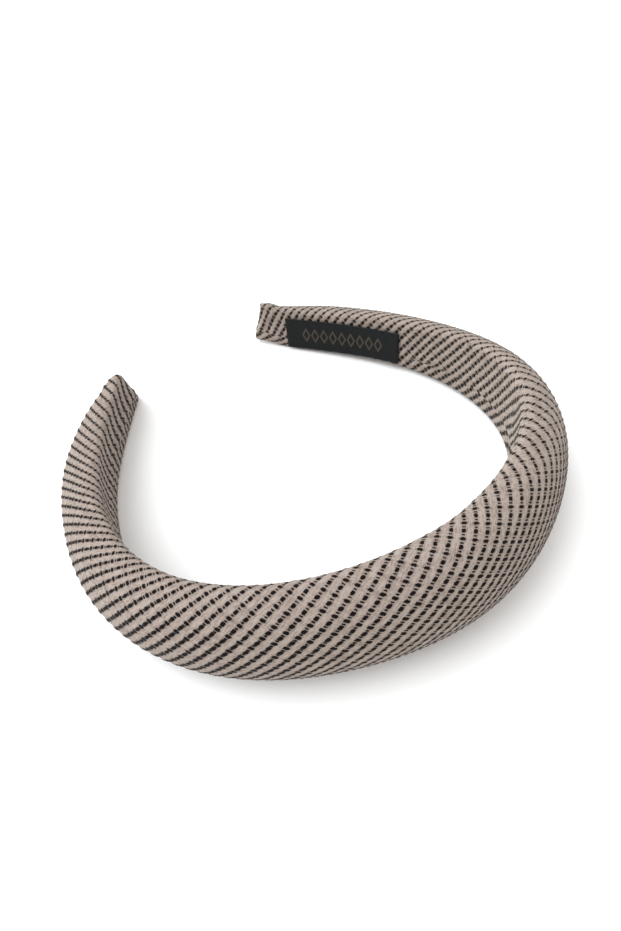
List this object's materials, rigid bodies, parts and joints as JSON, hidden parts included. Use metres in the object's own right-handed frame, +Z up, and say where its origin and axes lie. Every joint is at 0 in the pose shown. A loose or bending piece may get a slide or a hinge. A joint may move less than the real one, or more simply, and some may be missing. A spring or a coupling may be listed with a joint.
{
  "type": "padded headband",
  "caption": "Rigid curved headband with a deep foam pad under wrapped checked cloth, thickest at the crown, with folded cloth ends and a small label inside.",
  "frame": {"origin": "middle of the bounding box's bottom, on the surface that the band lies on", "axes": "+Z up, across the band's width; +X from the left arm to the right arm, with the crown towards -Y and the two ends towards +Y"},
  "size_m": [0.1616, 0.159, 0.0308],
  "materials": {
    "checked_cloth": "light cloth with thin dark checked lines laid on the bias, matt, wrapped over foam",
    "label_weave": "black woven satin label, soft sheen"
  },
  "bodies": {
    "root": {"padded_band": "checked_cloth", "fold_left": "checked_cloth", "fold_right": "checked_cloth", "label": "label_weave"}
  },
  "joints": []
}
